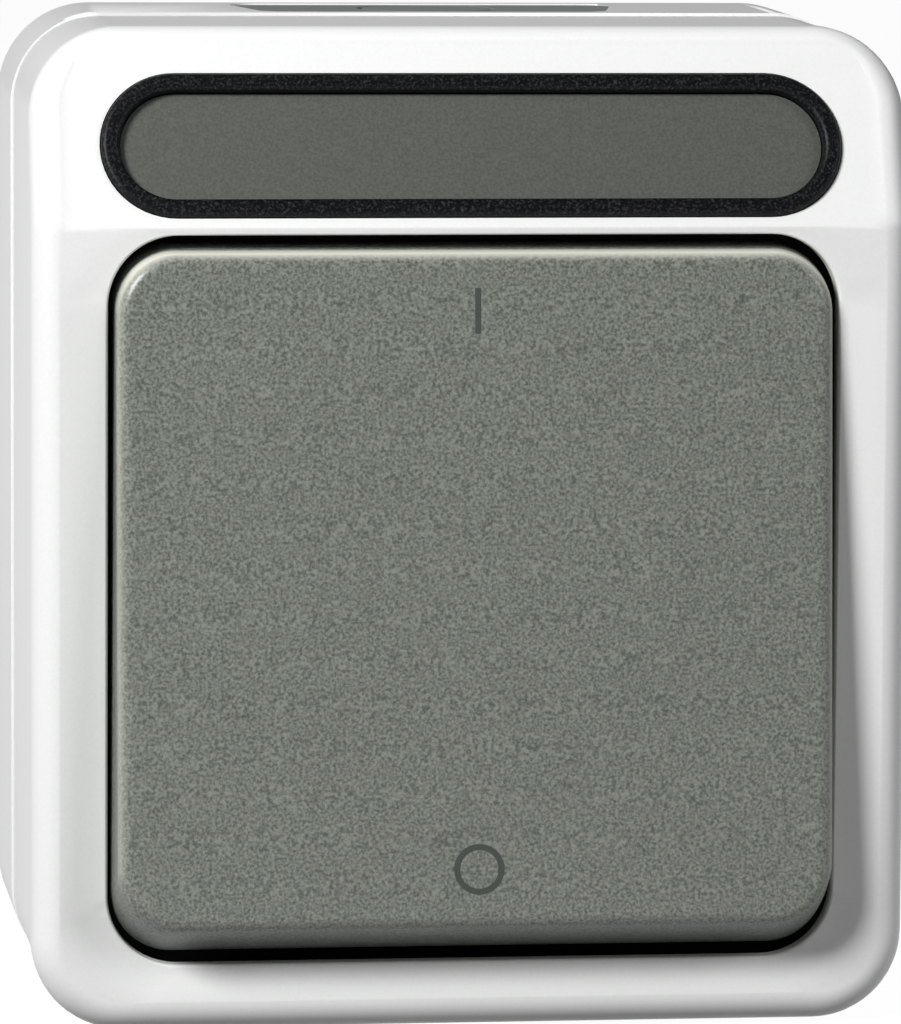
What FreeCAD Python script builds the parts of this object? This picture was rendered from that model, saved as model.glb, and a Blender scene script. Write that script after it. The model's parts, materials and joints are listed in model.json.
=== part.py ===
import FreeCAD
import Part
import math
import os

# Surface-mounted weatherproof rocker switch, in millimetres.
# The wall is the plane Y = 0, the front faces -Y, +Z is up and +X is to the right.
# A depth is measured from the wall towards the viewer, so it is -Y.
# The origin is the centre of the back face.

# Housing
face_width = 74.0
face_height = 84.0
front_depth = 45.9
corner_radius = 7.6
half_width = face_width / 2
half_height = face_height / 2
ledge_depth = 0.3813 * front_depth
cover_side = 3.9
front_rounding = 2.5
cover_wall = 2.2
cover_overhang = 0.3
ledge_step = 0.25
skirt_flare = 0.25
base_flare = 0.15
base_wall = 3.0
base_back = 2.4
skirt_wall = 2.2

# Base and skirt lap round a gasket
tongue_wall = 1.1
tongue_height = 2.2
lap_gap = 0.2
gasket_height = 1.1
joint_gap = 0.1

# Sloping label panel
slope_below_top = 16.0
slope_start = half_height - slope_below_top
slope_angle = 22.0
slope_bend = 4.0
panel_side = 3.5
panel_half_width = half_width - panel_side
panel_top_margin = 1.5
panel_radius = 3.0
panel_sink = 0.15
label_below_top = 9.65
label_centre = half_height - label_below_top
bezel_side = 5.85
bezel_length = face_width - 2 * bezel_side
bezel_height = 12.55
bezel_band = 1.55
bezel_seat = 1.5
bezel_proud = 0.55
bezel_rounding = 0.5
label_recess = 0.45
label_gap = 0.1
label_backing = 1.6

# Frame round the rocker: the facet rolls off the ridge and flattens towards the lip
frame_side = 6.3
frame_bottom = 5.6
frame_top = 17.0
recess_width = face_width - 2 * frame_side
recess_height = face_height - frame_bottom - frame_top
recess_radius = 5.9
facet_side_inset = 2.3
facet_bottom_inset = 2.6
facet_top_rise = 0.6
facet_drop = 0.65
facet_steps = ((0.35, 0.25), (0.7, 0.85))
lip_rounding = 0.3

# Cover tongue inside the skirt
cover_tongue_wall = 1.2
cover_tongue_reach = 2.6

# Rocker cap, drawn level about its pivot
pivot_below_front = 12.5
pivot_depth = front_depth - pivot_below_front
pivot_lift = 0.15
rest_tilt = 4.0
rocker_rise = 15.5
rocker_gap = 0.7
rocker_width = recess_width - 2 * rocker_gap
rocker_side_flare = 0.4
rocker_overreach = 1.25
rocker_sweep = recess_height / 2 + rocker_overreach
rocker_rim = 8.6
rocker_top_gap = 1.0
rocker_bottom_gap = 1.1
rocker_end_bow = 0.25
rocker_corner = 5.1
rocker_edge = 1.3
cap_wall = 1.7
cap_face = 1.9
cap_rib = 1.1
cap_rib_height = 2.2
cap_rib_side = 8.0
cap_rib_end = 10.4
cap_rib_x = rocker_width / 2 - cap_rib_side
cap_rib_z = recess_height / 2 - cap_rib_end

# Partition behind the rocker
well_depth = 6.7
floor_front = front_depth - well_depth
floor_wall = 1.8
shelf_above_slope = 1.0
shelf_height = slope_start + shelf_above_slope
shelf_front = front_depth - cover_side + joint_gap
label_space = 15.5
label_space_depth = front_depth - label_space
drain_width = 8.0
drain_height = 1.2

# Actuator cradle
neck_half_width = 10.0
neck_half_height = 7.0
neck_radius = 1.5
neck_rear = 0.195 * pivot_depth
neck_opening_side = 5.5
neck_opening_end = 4.0
neck_opening_radius = 3.0
cradle_plate_rear = 7.6
cradle_plate_wall = 2.0
cradle_half_width = 20.0
cradle_half_height = 15.0
cradle_radius = 3.0
cap_post_x = 15.0
cap_post_z = 10.0
cap_post_radius = 3.0
cap_pin_radius = 1.5
cap_pin_gap = 0.1
cap_pin_height = 3.0
pivot_radius = 2.0
pivot_pin_length = 3.2
pivot_clearance = 0.06

# Seal in the partition
seal_flange = 2.0
seal_wall = 0.7
seal_flange_wall = 0.9
seal_sheet_rise = 1.0
seal_side_gap = 0.4
seal_end_gap = 0.8
seal_lip_height = 0.8
seal_fit = 0.05

# Plungers and their springs
pole_offset = 7.0
plunger_radius = 1.7
plunger_tip_radius = 1.5
plunger_guide_gap = 0.04
plunger_body_end = 3.0
plunger_pilot_radius = 0.8
plunger_pilot_length = 1.5
plunger_gap = 0.15
spring_top = 4.5
spring_radius = 1.25
spring_wire = 0.2
spring_turns = 4.5
spring_steps = 8

# Switch socket and its terminals
socket_rear = 0.21 * pivot_depth
socket_base = 2.2
socket_floor = socket_rear + socket_base
socket_half_width = 17.0
socket_half_height = face_height / 4
socket_radius = 2.0
stub_wall = 0.8
stub_half_width = 12.0
stub_radius = 1.0
terminal_length = 6.0
terminal_end = 0.6
terminal_start = socket_half_height - terminal_length - terminal_end
terminal_half_width = 3.3
terminal_gap = 0.3
terminal_bore = 1.7
strip_half_width = 2.5
strip_thickness = 1.0
post_half_width = 2.0
post_half_height = 1.8
terminal_screw_radius = 1.3
terminal_screw_head = 2.3
terminal_screw_head_height = 1.8
chamber_to_terminal = 3.4
chamber_half_height = terminal_start - chamber_to_terminal
chamber_half_width = 3.2

# Moving contacts
contact_depth = 0.584 * pivot_depth
contact_swing = 8.0
contact_half_width = 2.3
contact_face = 0.8
contact_thickness = 1.0
contact_arm_room = 2.5
contact_tail_room = 3.5
contact_arm = chamber_half_height - contact_arm_room
contact_tail = chamber_half_height - contact_tail_room
contact_end = 1.5
contact_rib_radius = 0.9
contact_rib_gap = 0.1
contact_pad_radius = 1.2
contact_pad_height = 0.7
contact_pad_gap = 0.1

# Support plate and mechanism cover
plate_rear = 0.6587 * pivot_depth
plate_wall = 1.2
plate_bar_half_height = 9.0
plate_ring = 1.7
plate_fit = 0.1
support_side = 7.0
support_spacing = face_width - 2 * support_side
support_boss_radius = 3.2
support_screw_radius = 1.5
support_screw_reach = 8.0
mechanism_wall = 1.8
mechanism_half_width = 13.7
mechanism_border = 2.4
mechanism_half_height = chamber_half_height + mechanism_border
ear_gap = 0.6
ear_wall = 2.8
ear_radius = 3.4
ear_foot = 6.5
ear_foot_height = 4.5
ear_slot = 3.1
plunger_slot_width = 2.2
plunger_slot_height = 3.4
terminal_depth = 0.53 * (plate_rear - socket_floor)

# Screws that hold the skirt to the base
column_side = 5.0
column_end = 6.7
column_x = rocker_width / 2 - column_side
column_z = recess_height / 2 - column_end
column_radius = 3.5
column_below_front = 15.0
column_top = front_depth - column_below_front
cover_screw_radius = 1.5
cover_screw_reach = 12.0
cover_screw_room = 4.9
column_thread_end = column_top - cover_screw_reach - cover_screw_room
screw_head_radius = 3.0
screw_head_height = 2.0
thread_gap = 0.05
clearance_gap = 0.2

# Wall fixing
fixing_side = 22.0
fixing_end = 10.0
fixing_spacing_x = face_width - 2 * fixing_side
fixing_spacing_z = face_height - 2 * fixing_end
fixing_radius = 2.25
fixing_slot_length = 7.0
fixing_pad = 2.0
fixing_pad_height = 1.2
column_rib = 1.6
column_rib_room = 1.5
column_rib_top = ledge_depth - column_rib_room

# Cable entries
grommet_rear_half_width = 0.2365 * face_width
grommet_narrowing = 2.5
grommet_front_half_width = grommet_rear_half_width - grommet_narrowing
grommet_rear = 1.6
grommet_to_ledge = 2.1
grommet_front = ledge_depth - grommet_to_ledge
grommet_radius = 2.5
grommet_flange = 0.8
grommet_border = 2.0
grommet_groove_border = 0.9
grommet_inner_flange = 1.0
grommet_fit = 0.1
grommet_ring_border = 0.7
grommet_ring = (grommet_front - grommet_rear) / 2 - grommet_ring_border
grommet_ring_width = 0.5
grommet_ring_depth = 0.3
grommet_cone_border = 1.6
grommet_cone_taper = 2.0
grommet_cone_radius = grommet_ring - grommet_cone_border
grommet_cone_tip = grommet_cone_radius - grommet_cone_taper
grommet_cone_length = 6.0
knockout_radius = 0.36 * ledge_depth
rear_knockout_radius = 9.0
rear_knockout_below_top = 15.0
rear_knockout_z = half_height - rear_knockout_below_top
knockout_groove = 0.6
knockout_depth = 0.9

# Earth terminal on the base
earth_above_bottom = 8.0
earth_z = -half_height + earth_above_bottom
earth_boss_height = 2.0
earth_half_width = 3.5
earth_length = 7.0
earth_depth = 7.0

# Values that follow from the ones above
slope = math.radians(slope_angle)
recess_z = -half_height + frame_bottom + recess_height / 2
pivot_z = recess_z + pivot_lift
skirt_half_width = half_width - cover_overhang
skirt_half_height = half_height - cover_overhang
floor_rear = floor_front - floor_wall
plate_front = plate_rear + plate_wall
mechanism_front = plate_front + mechanism_wall
plunger_end = pivot_depth - contact_depth - contact_face - plunger_gap
contact_seat = contact_rib_radius + contact_rib_gap
reach = 2 * face_height

ACROSS = FreeCAD.Vector(1, 0, 0)
FORWARD = FreeCAD.Vector(0, -1, 0)
UP = FreeCAD.Vector(0, 0, 1)


# Simple forms

def at(x, depth, z):
    """A point or step given across, out from the wall and up."""
    return FreeCAD.Vector(x, -depth, z)


def outline(half_w, half_h, radius, depth, x=0.0, z=0.0):
    """Closed rounded rectangle in a plane parallel to the wall."""
    corners = []
    for quarter in range(4):
        middle = math.radians(45 + 90 * quarter)
        centre_x = x + math.copysign(half_w - radius, math.cos(middle))
        centre_z = z + math.copysign(half_h - radius, math.sin(middle))
        corner = []
        for turn in (-45, 0, 45):
            angle = middle + math.radians(turn)
            corner.append(at(centre_x + radius * math.cos(angle), depth, centre_z + radius * math.sin(angle)))
        corners.append(corner)
    edges = []
    for quarter in range(4):
        corner = corners[quarter]
        following = corners[(quarter + 1) % 4]
        edges.append(Part.Arc(*corner).toShape())
        if corner[2].distanceToPoint(following[0]) > 1e-6:
            edges.append(Part.makeLine(corner[2], following[0]))
    return Part.Wire(edges)


def slab(half_w, half_h, radius, rear, front, x=0.0, z=0.0):
    """Rounded rectangle drawn out between two depths."""
    return Part.Face(outline(half_w, half_h, radius, rear, x, z)).extrude(at(0, front - rear, 0))


def tapered(rear_outline, front_outline):
    """Solid with straight walls between two outlines."""
    return Part.makeLoft([rear_outline, front_outline], True, True)


def rod(x, z, radius, rear, front):
    """Cylinder at right angles to the wall."""
    return Part.makeCylinder(radius, front - rear, at(x, rear, z), FORWARD)


def cross_rod(depth, z, radius, left, right):
    """Cylinder that runs across."""
    return Part.makeCylinder(radius, right - left, at(left, depth, z), ACROSS)


def upright_rod(x, depth, radius, bottom, top):
    """Cylinder that runs up."""
    return Part.makeCylinder(radius, top - bottom, at(x, depth, bottom), UP)


def block(left, right, rear, front, bottom, top):
    return Part.makeBox(right - left, front - rear, top - bottom, at(left, front, bottom))


def side_plate(points, left, right):
    """Solid drawn across from a closed side view of (depth, z) points."""
    corners = [at(left, depth, z) for depth, z in points]
    corners.append(corners[0])
    return Part.Face(Part.makePolygon(corners)).extrude(at(right - left, 0, 0))


def joined(shapes):
    """One clean solid from shapes that touch or overlap."""
    first = shapes[0]
    if len(shapes) == 1:
        return first
    return first.multiFuse(shapes[1:]).removeSplitter()


def rounded(shape, radius, chosen):
    """The shape with the edges that the test chooses rounded."""
    return shape.makeFillet(radius, [edge for edge in shape.Edges if chosen(edge)])


def middle_of(edge):
    return edge.valueAt((edge.FirstParameter + edge.LastParameter) / 2)


# The bent line of the front, upright beside the rocker and sloping at the label panel

def slope_depth(z, shift=0.0):
    """Depth of the front at a height, moved by a shift towards the viewer."""
    return front_depth + shift - max(0.0, z - slope_start) * math.tan(slope)


def front_line(shift):
    """Edges of the front's side view from bottom to top, with the bend as an arc."""
    tangent = slope_bend * math.tan(slope / 2)
    depth = front_depth + shift
    bend_start = at(-reach, depth, slope_start - tangent)
    bend_end = at(-reach, depth - tangent * math.sin(slope), slope_start + tangent * math.cos(slope))
    sag = slope_bend * (1 - math.cos(slope / 2))
    drop = slope_bend * math.sin(slope / 2)
    bend_middle = at(-reach, depth - sag, slope_start - tangent + drop)
    bottom = at(-reach, depth, -reach)
    top = at(-reach, slope_depth(reach, shift), reach)
    return [
        Part.makeLine(bottom, bend_start),
        Part.Arc(bend_start, bend_middle, bend_end).toShape(),
        Part.makeLine(bend_end, top),
    ]


def band(front_shift, rear_shift):
    """Everything between two copies of the front's side view."""
    front = front_line(front_shift)
    rear = front_line(rear_shift)
    top = Part.makeLine(front[-1].Vertexes[-1].Point, rear[-1].Vertexes[-1].Point)
    bottom = Part.makeLine(rear[0].Vertexes[0].Point, front[0].Vertexes[0].Point)
    wire = Part.Wire(Part.__sortEdges__(front + [top] + rear + [bottom]))
    return Part.Face(wire).extrude(at(2 * reach, 0, 0))


def on_label_panel(shape):
    """Places a shape, drawn about the origin with depth 0 at the panel's face, on the sunk panel."""
    placed = shape.copy()
    placed.rotate(at(0, 0, 0), ACROSS, -slope_angle)
    outward = at(0, -panel_sink * math.cos(slope), -panel_sink * math.sin(slope))
    placed.translate(at(0, slope_depth(label_centre), label_centre) + outward)
    return placed


def about_pivot(shape, angle):
    """Turns a shape about the rocker's axis."""
    turned = shape.copy()
    turned.rotate(at(0, pivot_depth, pivot_z), ACROSS, angle)
    return turned


# Screws and terminals

def screw(x, z, seat, head_radius, head_height, shank_radius, shank_reach):
    """Screw with its head in front of a seat and its shank running back towards the wall."""
    head = rod(x, z, head_radius, seat, seat + head_height)
    shank = rod(x, z, shank_radius, seat - shank_reach, seat)
    return joined([head, shank])


def terminal_cage(x, rear, front, bottom, top, half_w):
    """Brass clamp with a wire bore up its middle and a screw hole from the front."""
    cage = block(x - half_w, x + half_w, rear, front, bottom, top)
    middle_depth = (rear + front) / 2 - terminal_screw_head_height / 4
    wire_bore = upright_rod(x, middle_depth, terminal_bore, bottom, top)
    screw_hole = rod(x, (bottom + top) / 2, terminal_screw_radius + thread_gap, middle_depth, front)
    return cage.cut(joined([wire_bore, screw_hole]))


def terminal_screw(x, z, seat):
    reach_back = terminal_depth / 3
    return screw(
        x, z, seat, terminal_screw_head, terminal_screw_head_height, terminal_screw_radius, reach_back
    )


# Rear base

def cable_opening(border, rear, front):
    """Trapezium with rounded corners in the top wall, narrower towards the front."""
    wide = grommet_rear_half_width - border
    narrow = grommet_front_half_width - border
    back = grommet_rear + border
    fore = grommet_front - border
    corners = [at(-wide, back, rear), at(wide, back, rear), at(narrow, fore, rear), at(-narrow, fore, rear)]
    corners.append(corners[0])
    solid = Part.Face(Part.makePolygon(corners)).extrude(at(0, 0, front - rear))
    upright = [edge for edge in solid.Edges if abs(edge.tangentAt(edge.FirstParameter).z) > 0.99]
    return solid.makeFillet(max(grommet_radius - border / 2, 0.5), upright)


def fixing_places():
    for side in (-1, 1):
        for level in (-1, 1):
            yield side * fixing_spacing_x / 2, level * fixing_spacing_z / 2


def column_places():
    for side in (-1, 1):
        for level in (-1, 1):
            yield side * column_x, pivot_z + level * column_z


def support_places():
    for side in (-1, 1):
        yield side * support_spacing / 2, pivot_z


def make_rear_base():
    ledge_half_width = skirt_half_width + skirt_flare + ledge_step
    ledge_half_height = skirt_half_height + skirt_flare + ledge_step
    ledge_radius = corner_radius + skirt_flare
    shell = tapered(
        outline(ledge_half_width + base_flare, ledge_half_height + base_flare, ledge_radius + base_flare, 0),
        outline(ledge_half_width, ledge_half_height, ledge_radius, ledge_depth),
    )
    cavity_w = ledge_half_width - base_wall
    cavity_h = ledge_half_height - base_wall
    cavity_r = ledge_radius - base_wall
    tongue = slab(
        cavity_w + tongue_wall,
        cavity_h + tongue_wall,
        cavity_r + tongue_wall,
        ledge_depth,
        ledge_depth + tongue_height,
    )
    cavity = slab(cavity_w, cavity_h, cavity_r, base_back, ledge_depth + tongue_height)
    base = joined([shell, tongue]).cut(cavity)

    def side_rib(x, z):
        left, right = sorted((x, math.copysign(cavity_w + base_wall / 2, x)))
        half_rib = column_rib / 2
        return block(left, right, base_back / 2, column_rib_top, z - half_rib, z + half_rib)

    added = []
    removed = []
    for x, z in column_places():
        added += [rod(x, z, column_radius, base_back / 2, column_top), side_rib(x, z)]
        removed.append(rod(x, z, cover_screw_radius + thread_gap, column_thread_end, column_top))
    for x, z in support_places():
        added += [rod(x, z, support_boss_radius, base_back / 2, plate_rear), side_rib(x, z)]
        thread_end = plate_rear - support_screw_reach - clearance_gap
        removed.append(rod(x, z, support_screw_radius + thread_gap, thread_end, plate_rear))
    for x, z in fixing_places():
        half_slot = fixing_slot_length / 2
        pad_w = half_slot + fixing_pad
        pad_h = fixing_radius + fixing_pad
        pad_top = base_back + fixing_pad_height
        added.append(block(x - pad_w, x + pad_w, base_back / 2, pad_top, z - pad_h, z + pad_h))
        removed.append(slab(half_slot, fixing_radius, fixing_radius, -1, pad_top + 1, x, z))
    added.append(rod(0, earth_z, earth_half_width, base_back / 2, base_back + earth_boss_height))
    removed.append(rod(0, earth_z, cover_screw_radius + thread_gap, base_back, base_back + earth_boss_height))

    # Cable entry at the top, with a shallow seat for the soft flange, and plain knock-outs elsewhere
    outside = ledge_half_height + base_flare + 1
    removed.append(cable_opening(0, ledge_half_height - grommet_flange, outside))
    removed.append(cable_opening(grommet_border, cavity_h - 1, outside))
    entry_depth = (grommet_rear + grommet_front) / 2
    groove_end = -ledge_half_height + knockout_depth
    low_outer = upright_rod(0, entry_depth, knockout_radius, -outside, groove_end)
    low_inner = upright_rod(0, entry_depth, knockout_radius - knockout_groove, -outside, groove_end)
    removed.append(low_outer.cut(low_inner))
    rear_outer = rod(0, rear_knockout_z, rear_knockout_radius, 0, knockout_depth)
    rear_inner = rod(0, rear_knockout_z, rear_knockout_radius - knockout_groove, 0, knockout_depth)
    removed.append(rear_outer.cut(rear_inner))
    return joined([base] + added).cut(joined(removed))


def make_base_gasket():
    ledge_half_width = skirt_half_width + skirt_flare + ledge_step
    ledge_half_height = skirt_half_height + skirt_flare + ledge_step
    inner_w = ledge_half_width - base_wall
    inner_h = ledge_half_height - base_wall
    inner_r = corner_radius + skirt_flare - base_wall
    rear = ledge_depth + tongue_height
    front = rear + gasket_height
    outer = slab(inner_w + tongue_wall, inner_h + tongue_wall, inner_r + tongue_wall, rear, front)
    inner = slab(inner_w, inner_h, inner_r, rear, front)
    return outer.cut(inner)


def make_cable_grommet():
    ledge_half_height = skirt_half_height + skirt_flare + ledge_step
    wall_inside = ledge_half_height - base_wall
    flange_seat = ledge_half_height - grommet_flange
    entry_depth = (grommet_rear + grommet_front) / 2
    solids = [
        cable_opening(grommet_fit, flange_seat, ledge_half_height),
        cable_opening(grommet_border + grommet_fit, wall_inside - grommet_inner_flange, flange_seat),
        cable_opening(grommet_groove_border, wall_inside - grommet_inner_flange, wall_inside),
        Part.makeCone(
            grommet_cone_tip,
            grommet_cone_radius,
            grommet_cone_length,
            at(0, entry_depth, wall_inside - grommet_inner_flange - grommet_cone_length),
            UP,
        ),
    ]
    grommet = joined(solids)
    groove_end = ledge_half_height - grommet_ring_depth
    outer = upright_rod(0, entry_depth, grommet_ring, groove_end, ledge_half_height)
    inner = upright_rod(0, entry_depth, grommet_ring - grommet_ring_width, groove_end, ledge_half_height)
    return grommet.cut(outer.cut(inner))


# Skirt with the partition that makes the well behind the rocker

def make_upper_housing():
    rear = ledge_depth + joint_gap
    joint = front_depth - cover_side
    radius = corner_radius - cover_overhang
    outer = tapered(
        outline(skirt_half_width + skirt_flare, skirt_half_height + skirt_flare, radius, rear),
        outline(skirt_half_width, skirt_half_height, radius, joint),
    )
    outer = outer.cut(band(reach, -cover_side))
    inner_w = skirt_half_width - skirt_wall
    inner_h = skirt_half_height - skirt_wall
    inner_r = corner_radius - skirt_wall
    tongue_w = skirt_half_width + skirt_flare + ledge_step - base_wall + tongue_wall
    tongue_h = skirt_half_height + skirt_flare + ledge_step - base_wall + tongue_wall
    tongue_r = corner_radius + skirt_flare - base_wall + tongue_wall
    step = ledge_depth + tongue_height + gasket_height
    hollow = joined(
        [
            slab(inner_w, inner_h, inner_r, rear, joint + 1),
            slab(tongue_w + lap_gap, tongue_h + lap_gap, tongue_r + lap_gap, rear, step),
        ]
    )
    skirt = outer.cut(hollow)

    overlap = skirt_wall / 2
    profile = [
        (floor_rear, -inner_h - overlap),
        (floor_front, -inner_h - overlap),
        (floor_front, shelf_height),
        (shelf_front, shelf_height),
        (shelf_front, shelf_height + floor_wall),
        (label_space_depth, shelf_height + floor_wall),
        (label_space_depth, inner_h + overlap),
        (label_space_depth - floor_wall, inner_h + overlap),
        (label_space_depth - floor_wall, shelf_height),
        (floor_rear, shelf_height),
    ]
    partition = side_plate(profile, -half_width, half_width)
    room = slab(inner_w + overlap, inner_h + overlap, inner_r + overlap, rear, front_depth)
    partition = partition.common(room).cut(band(reach, -cover_side))
    tubes = [rod(x, z, column_radius, column_top + joint_gap, floor_front) for x, z in column_places()]
    housing = joined([skirt, partition] + tubes)

    opening_w = neck_half_width + neck_opening_side
    opening_h = neck_half_height + neck_opening_end
    removed = [slab(opening_w, opening_h, neck_opening_radius, floor_rear - 1, floor_front + 1, 0, pivot_z)]
    for x, z in column_places():
        removed.append(rod(x, z, cover_screw_radius + clearance_gap, column_top, floor_front + 1))
    removed.append(
        block(
            -drain_width / 2,
            drain_width / 2,
            floor_front,
            floor_front + drain_height,
            -half_height - 1,
            -inner_h + 1,
        )
    )
    return housing.cut(joined(removed))


# Front cover

def make_front_cover():
    body = slab(half_width, half_height, corner_radius, 0, front_depth + 1)
    body = body.common(band(0, -cover_side))

    def on_front_rim(edge):
        point = middle_of(edge)
        depth = -point.y
        on_front = abs(depth - slope_depth(point.z)) < 0.15
        at_side = abs(point.x) > half_width - corner_radius
        at_end = abs(point.z) > half_height - corner_radius
        return on_front and (at_side or at_end)

    body = rounded(body, front_rounding, on_front_rim)

    # Hollow behind, a tongue inside the skirt, and backing under the label
    inner_w = half_width - cover_wall
    inner_h = half_height - cover_wall
    inner_r = corner_radius - cover_wall
    hollow = slab(inner_w, inner_h, inner_r, 0, front_depth).common(band(-cover_wall, -front_depth))
    tongue_w = skirt_half_width - skirt_wall - lap_gap
    tongue_h = skirt_half_height - skirt_wall - lap_gap
    tongue_r = corner_radius - skirt_wall - lap_gap
    tongue = slab(tongue_w, tongue_h, tongue_r, 0, front_depth).cut(
        slab(
            tongue_w - cover_tongue_wall,
            tongue_h - cover_tongue_wall,
            tongue_r - cover_tongue_wall,
            0,
            front_depth,
        )
    )
    tongue = tongue.common(band(-cover_wall / 2, -cover_side - cover_tongue_reach))
    shelf = slab(inner_w, inner_h, inner_r, 0, front_depth).cut(
        slab(
            tongue_w - cover_tongue_wall,
            tongue_h - cover_tongue_wall,
            tongue_r - cover_tongue_wall,
            0,
            front_depth,
        )
    )
    shelf = shelf.common(band(-cover_wall / 2, -cover_side))
    backing_border = cover_wall / 2
    backing = on_label_panel(
        slab(
            bezel_length / 2 + backing_border,
            bezel_height / 2 + backing_border,
            bezel_height / 2 + backing_border,
            -bezel_seat - label_backing,
            -panel_sink,
        )
    )
    backing = backing.common(slab(inner_w, inner_h, inner_r, 0, front_depth))
    cover = joined([body.cut(hollow), shelf, tongue, backing])

    # Facet that falls from the ridge to the recess
    facet_bottom = -half_height + facet_bottom_inset
    facet_top = recess_z + recess_height / 2 + facet_top_rise
    ridge_w = half_width - facet_side_inset
    ridge_h = (facet_top - facet_bottom) / 2
    ridge_z = (facet_top + facet_bottom) / 2
    ridge_radius = recess_radius + facet_side_inset / 2

    def facet_outline(way, fall):
        """Outline part of the way from the ridge to the lip, after part of the fall."""
        return outline(
            ridge_w + way * (recess_width / 2 - ridge_w),
            ridge_h + way * (recess_height / 2 - ridge_h),
            ridge_radius + way * (recess_radius - ridge_radius),
            front_depth - fall * facet_drop,
            0,
            ridge_z + way * (recess_z - ridge_z),
        )

    steps = ((0.0, 0.0),) + facet_steps + ((1.0, 1.0),)
    facet = Part.makeLoft([facet_outline(*step) for step in steps], True, True)
    panel_top = (half_height - panel_top_margin - label_centre) / math.cos(slope)
    panel_low = -bezel_height
    panel = on_label_panel(
        slab(
            panel_half_width,
            (panel_top - panel_low) / 2,
            panel_radius,
            0,
            2 * panel_sink + 1,
            0,
            (panel_top + panel_low) / 2,
        )
    )
    seat_w = bezel_length / 2 + label_gap
    seat_h = bezel_height / 2 + label_gap
    seat = on_label_panel(slab(seat_w, seat_h, seat_h, -bezel_seat, 1))
    recess_w = recess_width / 2
    recess_h = recess_height / 2
    recess = slab(recess_w, recess_h, recess_radius, floor_front, front_depth + 1, 0, recess_z)
    behind_lip = slab(recess_w, half_height, recess_radius, 0, front_depth - cover_wall)
    sweep = cross_rod(pivot_depth, pivot_z, rocker_sweep + clearance_gap, -recess_w, recess_w)
    sweep = sweep.common(behind_lip)
    shelf_room = block(
        -half_width + cover_wall,
        half_width - cover_wall,
        0,
        shelf_front + clearance_gap,
        slope_start - 2 * clearance_gap,
        shelf_height + floor_wall + clearance_gap,
    )
    cover = cover.cut(joined([facet, recess])).cut(panel).cut(seat).cut(sweep).cut(shelf_room)

    def on_lip(edge):
        point = middle_of(edge)
        inside_w = abs(point.x) < recess_w + 0.05
        inside_h = abs(point.z - recess_z) < recess_h + 0.05
        return inside_w and inside_h and abs(-point.y - front_depth + facet_drop) < 0.02

    return rounded(cover, lip_rounding, on_lip)


def make_label_bezel():
    half_w = bezel_length / 2
    half_h = bezel_height / 2
    ring = slab(half_w, half_h, half_h, -bezel_seat, bezel_proud)
    ring = ring.cut(
        slab(half_w - bezel_band, half_h - bezel_band, half_h - bezel_band, -bezel_seat, bezel_proud + 1)
    )
    ring = rounded(ring, bezel_rounding, lambda edge: abs(-middle_of(edge).y - bezel_proud) < 0.01)
    return on_label_panel(ring)


def make_label_plate():
    half_w = bezel_length / 2 - bezel_band - label_gap
    half_h = bezel_height / 2 - bezel_band - label_gap
    return on_label_panel(slab(half_w, half_h, half_h, -bezel_seat, -label_recess))


# Rocker cap and cradle, drawn level and then tilted to rest

def rocker_form(inset, face_inset, rim, corner, flare=rocker_side_flare):
    """Block whose bowed end walls clear the recess at rest and whose sides flare to the rim."""
    sweep = rocker_sweep - inset
    face = pivot_depth + rocker_rise - face_inset
    half_w = rocker_width / 2 - inset
    rise = face - pivot_depth
    half_face = math.sqrt(sweep ** 2 - rise ** 2)
    tilt = math.radians(rest_tilt)
    top_limit = recess_height / 2 - pivot_lift - rocker_top_gap
    low_limit = recess_height / 2 + pivot_lift - rocker_bottom_gap
    top_reach = (top_limit - rim * math.sin(tilt)) / math.cos(tilt) - inset
    low_reach = (low_limit + rim * math.sin(tilt)) / math.cos(tilt) - inset
    mid = (rise + rim) / 2
    top_middle = (half_face + top_reach) / 2 + rocker_end_bow
    low_middle = (half_face + low_reach) / 2 + rocker_end_bow
    left = -reach
    top_face = at(left, face, pivot_z + half_face)
    top_mid = at(left, pivot_depth + mid, pivot_z + top_middle)
    top_rim = at(left, pivot_depth + rim, pivot_z + top_reach)
    low_face = at(left, face, pivot_z - half_face)
    low_mid = at(left, pivot_depth + mid, pivot_z - low_middle)
    low_rim = at(left, pivot_depth + rim, pivot_z - low_reach)
    wire = Part.Wire(
        [
            Part.makeLine(low_face, top_face),
            Part.Arc(top_face, top_mid, top_rim).toShape(),
            Part.makeLine(top_rim, low_rim),
            Part.Arc(low_rim, low_mid, low_face).toShape(),
        ]
    )
    ends = Part.Face(wire).extrude(at(2 * reach, 0, 0))
    tall = rocker_sweep + 1
    sides = tapered(
        Part.makePolygon(
            [
                at(-half_w - flare, pivot_depth + rim, pivot_z - tall),
                at(half_w + flare, pivot_depth + rim, pivot_z - tall),
                at(half_w + flare, pivot_depth + rim, pivot_z + tall),
                at(-half_w - flare, pivot_depth + rim, pivot_z + tall),
                at(-half_w - flare, pivot_depth + rim, pivot_z - tall),
            ]
        ),
        Part.makePolygon(
            [
                at(-half_w, face, pivot_z - tall),
                at(half_w, face, pivot_z - tall),
                at(half_w, face, pivot_z + tall),
                at(-half_w, face, pivot_z + tall),
                at(-half_w, face, pivot_z - tall),
            ]
        ),
    )
    form = ends.common(sides)

    def on_corner(edge):
        low = min(-vertex.Point.y for vertex in edge.Vertexes)
        high = max(-vertex.Point.y for vertex in edge.Vertexes)
        return high - low > (rise - rim) / 2

    return rounded(form, corner, on_corner)


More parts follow.
